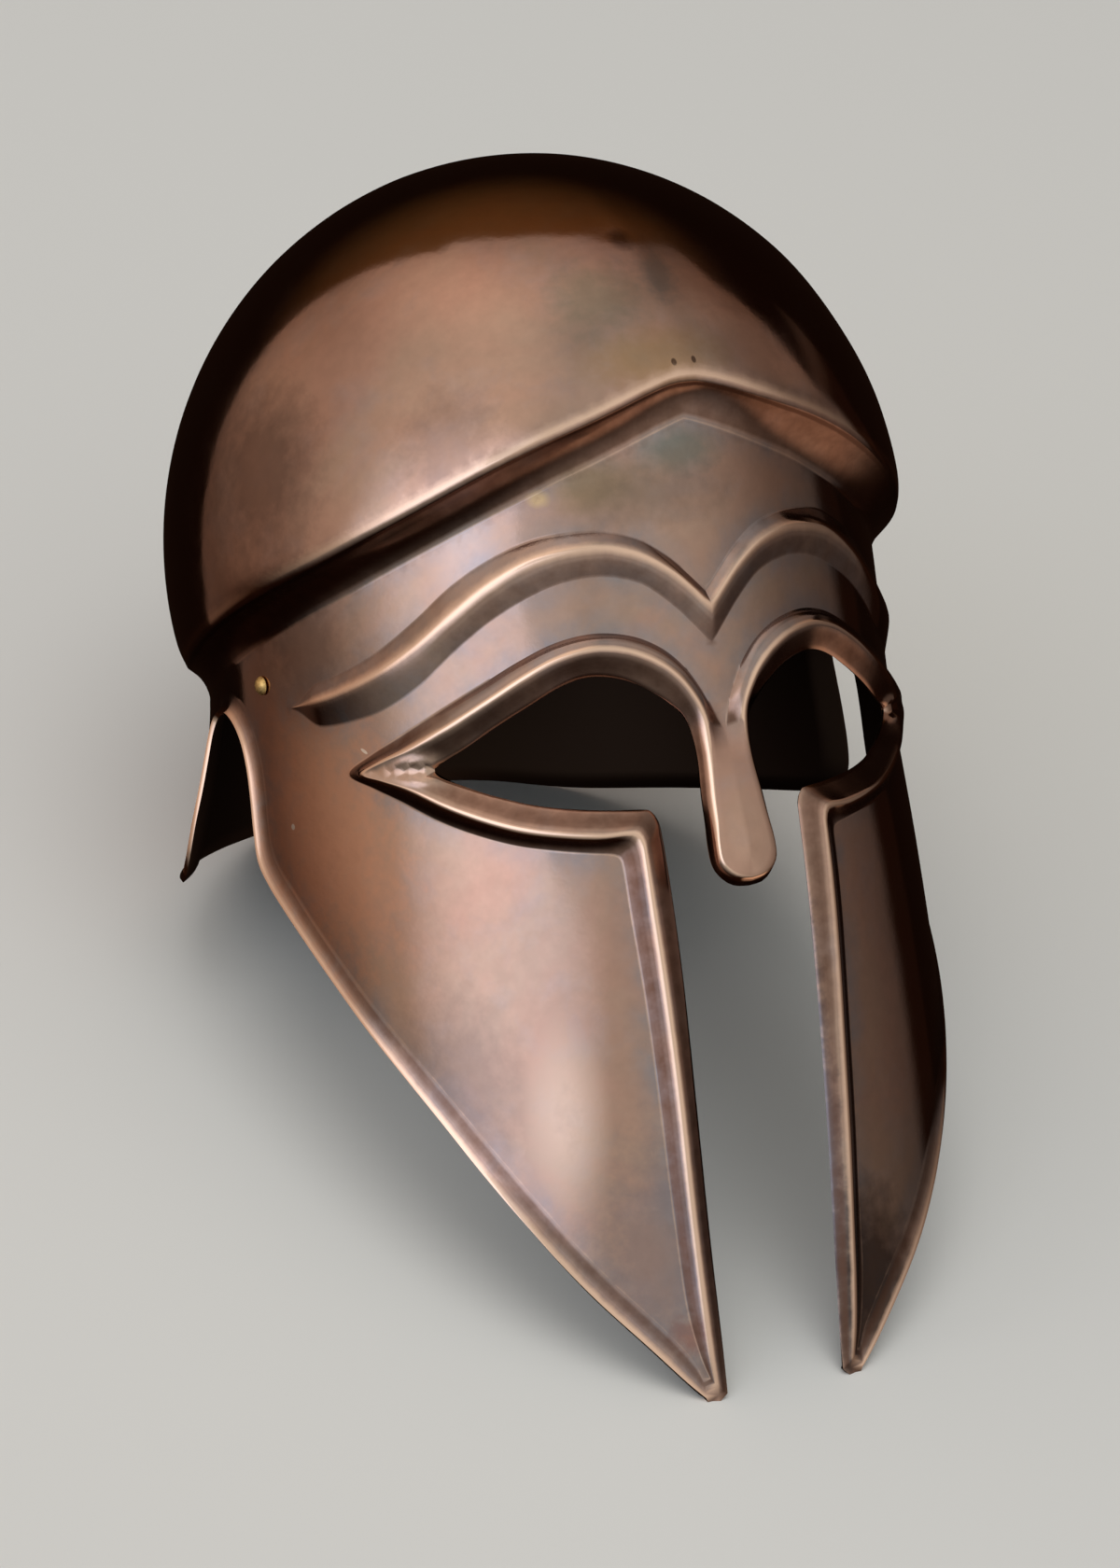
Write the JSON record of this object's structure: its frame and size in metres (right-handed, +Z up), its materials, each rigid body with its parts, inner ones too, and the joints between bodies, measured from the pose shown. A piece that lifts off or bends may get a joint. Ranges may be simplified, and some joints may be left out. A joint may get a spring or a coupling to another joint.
{
  "type": "italo-corinthian helmet",
  "caption": "Bronze helmet raised from one sheet, with a smooth dome over a hollow ledge, eye openings, nose guard, long pointed cheekpieces and a flared neck guard.",
  "frame": {"origin": "centre of the bounding box on the floor that the helmet stands on", "axes": "+Z up; the face looks towards -Y and, leaning back, upward; +X is the wearer's left"},
  "size_m": [0.2188, 0.3455, 0.2453],
  "materials": {
    "patinated_bronze": "polished satin with dark patina and light tarnish",
    "brass": "satin, slightly tarnished"
  },
  "bodies": {
    "root": {"helmet_shell": "patinated_bronze", "rivet_right": "brass", "rivet_left": "brass"}
  },
  "joints": []
}
